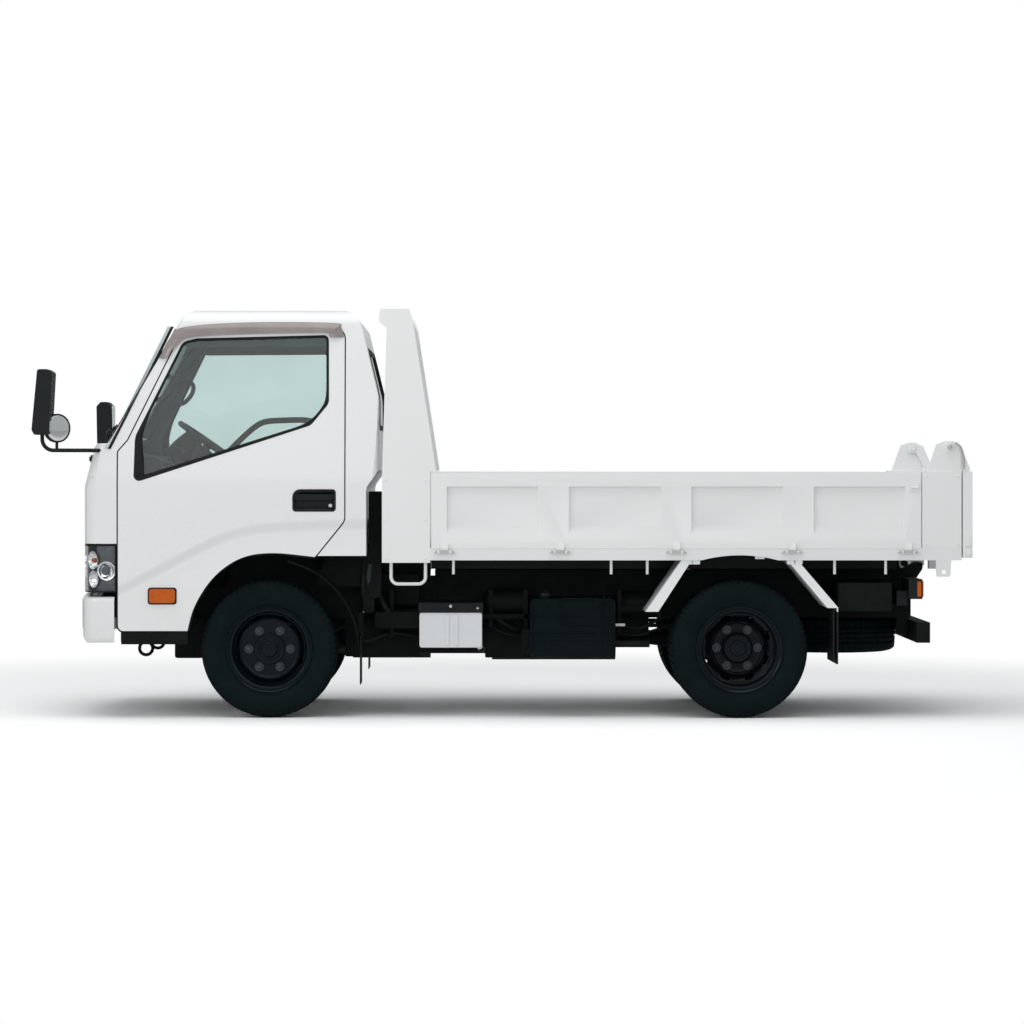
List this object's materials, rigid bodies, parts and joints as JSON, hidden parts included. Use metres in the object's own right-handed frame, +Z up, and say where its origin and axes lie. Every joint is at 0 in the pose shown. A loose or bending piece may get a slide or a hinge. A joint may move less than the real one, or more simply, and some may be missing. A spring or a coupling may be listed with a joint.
{
  "type": "dump truck",
  "caption": "Small cab-over dump truck with a tilting cab, opening doors, steered front wheels and a tipping bed with drop sides and a top-hung tailgate",
  "frame": {"origin": "on the road under the middle of the truck's bounding box", "axes": "+X towards the tailgate, -X towards the front of the cab, +Y towards the truck's right side, +Z up"},
  "size_m": [5.0136, 2.16, 2.2024],
  "materials": {
    "white_paint": "gloss white body paint",
    "black_paint": "satin black chassis paint",
    "tyre_rubber": "ribbed tyre rubber",
    "cast_iron": "painted castings and forgings",
    "window_glass": "pale green tinted glass",
    "black_plastic": "grained black plastic",
    "white_plastic": "white moulded cover",
    "dull_steel": "dull aluminised exhaust steel",
    "lamp_red": "red and amber lamp lens",
    "lamp_amber": "amber lamp lens",
    "lamp_glass": "clear lamp lens over bright reflectors",
    "seat_fabric": "woven grey seat cloth",
    "chrome_rod": "polished piston rod"
  },
  "bodies": {
    "chassis": {"frame_rails": "black_paint", "front_bumper": "white_paint", "engine_block": "cast_iron", "gearbox_and_propshaft": "cast_iron", "front_axle_beam": "cast_iron", "leaf_springs": "black_paint", "rear_axle_housing": "cast_iron", "fuel_tank": "black_paint", "battery_box": "white_plastic", "battery_lid": "black_plastic", "silencer": "dull_steel", "spare_wheel": "tyre_rubber", "rear_lamps": "lamp_red", "rear_guard_bar": "black_paint", "front_fender_liners": "black_plastic", "air_intake": "black_plastic", "tool_box": "black_paint"},
    "cab": {"cab_shell": "white_paint", "front_panel": "white_paint", "windscreen": "window_glass", "rear_window": "window_glass", "headlamps": "lamp_glass", "dashboard": "black_plastic", "seats": "seat_fabric", "steering_wheel": "black_plastic", "mirror_left": "black_plastic", "mirror_right": "black_plastic", "cab_steps": "black_plastic"},
    "left_door": {"door_left": "white_paint", "door_handle_left": "black_plastic", "door_glass_left": "window_glass", "side_lamp_left": "lamp_amber"},
    "right_door": {"door_right": "white_paint", "door_handle_right": "black_plastic", "door_glass_right": "window_glass", "side_lamp_right": "lamp_amber"},
    "left_knuckle": {"knuckle_left": "cast_iron"},
    "right_knuckle": {"knuckle_right": "cast_iron"},
    "front_left_wheel": {"tyre_front_left": "tyre_rubber", "rim_front_left": "black_paint"},
    "front_right_wheel": {"tyre_front_right": "tyre_rubber", "rim_front_right": "black_paint"},
    "rear_left_wheels": {"tyres_rear_left": "tyre_rubber", "rims_rear_left": "black_paint"},
    "rear_right_wheels": {"tyres_rear_right": "tyre_rubber", "rims_rear_right": "black_paint"},
    "bed": {"bed_frame": "white_paint", "front_guard": "white_paint", "rear_posts": "white_paint", "bed_mudguards": "white_paint", "bed_steps_and_hooks": "white_paint"},
    "left_board": {"sideboard_left": "white_paint"},
    "right_board": {"sideboard_right": "white_paint"},
    "rear_gate": {"tailgate": "white_paint"},
    "barrel": {"hoist_barrel": "black_paint"},
    "rod": {"hoist_rod": "chrome_rod"}
  },
  "joints": [
    {"name": "cab_tilt", "type": "hinge", "parent": "chassis", "child": "cab", "pos_m": [-2.275, 0, 0.6], "axis": [0, -1, 0], "range_deg": [0, 45]},
    {"name": "left_door_swing", "type": "hinge", "parent": "cab", "child": "left_door", "pos_m": [-2.043, -0.837, 1.2], "axis": [0, 0, -1], "range_deg": [0, 68]},
    {"name": "right_door_swing", "type": "hinge", "parent": "cab", "child": "right_door", "pos_m": [-2.043, 0.837, 1.2], "axis": [0, 0, 1], "range_deg": [0, 68]},
    {"name": "left_steer", "type": "hinge", "parent": "chassis", "child": "left_knuckle", "pos_m": [-1.265, -0.61, 0.369], "axis": [0, 0, 1], "range_deg": [-35, 35]},
    {"name": "right_steer", "type": "hinge", "parent": "chassis", "child": "right_knuckle", "pos_m": [-1.265, 0.61, 0.369], "axis": [0, 0, 1], "range_deg": [-35, 35]},
    {"name": "front_left_spin", "type": "hinge", "parent": "left_knuckle", "child": "front_left_wheel", "pos_m": [-1.265, -0.7, 0.369], "axis": [0, 1, 0], "continuous": true},
    {"name": "front_right_spin", "type": "hinge", "parent": "right_knuckle", "child": "front_right_wheel", "pos_m": [-1.265, 0.7, 0.369], "axis": [0, 1, 0], "continuous": true},
    {"name": "rear_left_spin", "type": "hinge", "parent": "chassis", "child": "rear_left_wheels", "pos_m": [1.26, -0.6175, 0.369], "axis": [0, 1, 0], "continuous": true},
    {"name": "rear_right_spin", "type": "hinge", "parent": "chassis", "child": "rear_right_wheels", "pos_m": [1.26, 0.6175, 0.369], "axis": [0, 1, 0], "continuous": true},
    {"name": "bed_tip", "type": "hinge", "parent": "chassis", "child": "bed", "pos_m": [2.275, 0, 0.8], "axis": [0, 1, 0], "range_deg": [0, 50]},
    {"name": "left_board_drop", "type": "hinge", "parent": "bed", "child": "left_board", "pos_m": [0.922, -0.86, 0.89], "axis": [1, 0, 0], "range_deg": [0, 165]},
    {"name": "right_board_drop", "type": "hinge", "parent": "bed", "child": "right_board", "pos_m": [0.922, 0.86, 0.89], "axis": [-1, 0, 0], "range_deg": [0, 165]},
    {"name": "gate_swing", "type": "hinge", "parent": "bed", "child": "rear_gate", "pos_m": [2.385, 0, 1.456], "axis": [0, -1, 0], "range_deg": [0, 60]},
    {"name": "barrel_swing", "type": "hinge", "parent": "chassis", "child": "barrel", "pos_m": [-0.015, 0, 0.6], "axis": [0, -1, 0], "range_deg": [0, 27]},
    {"name": "rod_extend", "type": "slide", "parent": "barrel", "child": "rod", "axis": [0.9839, 0, 0.1789], "range_m": [0, 0.8]}
  ],
  "couplings": [
    {"joint": "right_steer", "follows": "left_steer", "ratio": 1},
    {"joint": "barrel_swing", "follows": "bed_tip", "ratio": 0.51565},
    {"joint": "rod_extend", "follows": "bed_tip", "m_per_rad": 0.8814}
  ]
}
